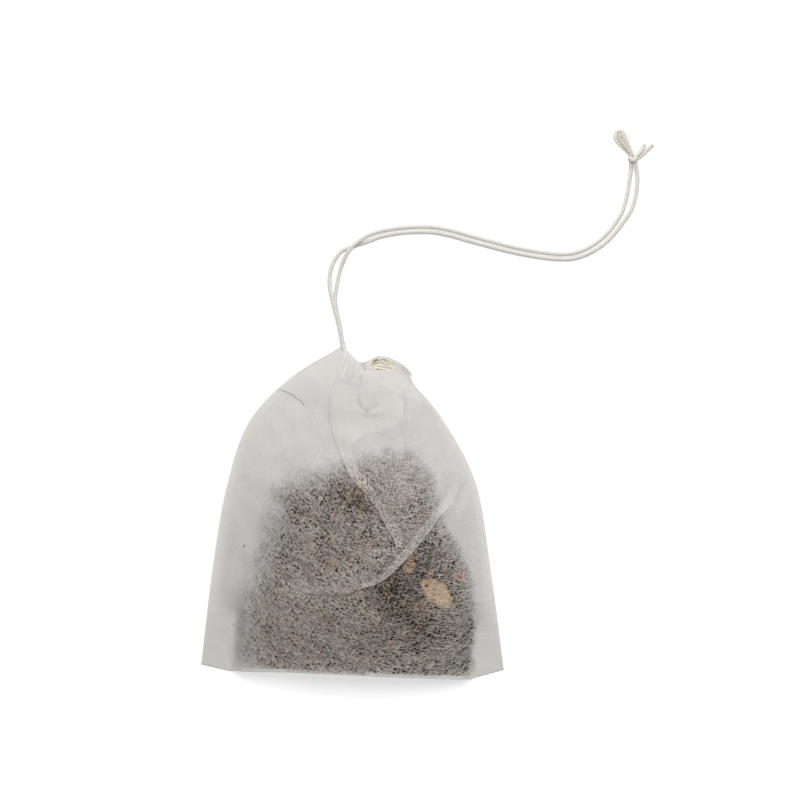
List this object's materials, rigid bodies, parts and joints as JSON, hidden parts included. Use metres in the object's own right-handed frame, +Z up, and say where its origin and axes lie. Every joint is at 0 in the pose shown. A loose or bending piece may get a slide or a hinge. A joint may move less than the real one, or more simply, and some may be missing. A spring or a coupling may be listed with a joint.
{
  "type": "paper tea filter bag",
  "caption": "Drawstring filter bag of thin paper, filled with leaf tea and lying on its back, with a folded front, a cinched neck and a long knotted cotton string.",
  "frame": {"origin": "on the table, under the middle of the bag without its free string", "axes": "+X across the bag, +Y from its folded bottom to its cinched neck, +Z up from the table through the bag's thickness"},
  "size_m": [0.1048, 0.1271, 0.0106],
  "materials": {
    "filter_paper": "matt, open-textured, lets light through",
    "dried_tea": "matt dried leaf",
    "dried_fruit": "matt dried fruit",
    "dried_peel": "matt dried peel",
    "dried_berry": "matt dried berry",
    "cotton_string": "twisted cotton, natural white"
  },
  "bodies": {
    "root": {"filter_bag": "filter_paper", "tea_leaves": "dried_tea", "fruit_piece": "dried_fruit", "peel_piece": "dried_peel", "berry_piece": "dried_berry", "drawstring_in_hem": "cotton_string", "drawstring_strand_a": "cotton_string", "drawstring_strand_b": "cotton_string", "drawstring_knot": "cotton_string"}
  },
  "joints": []
}
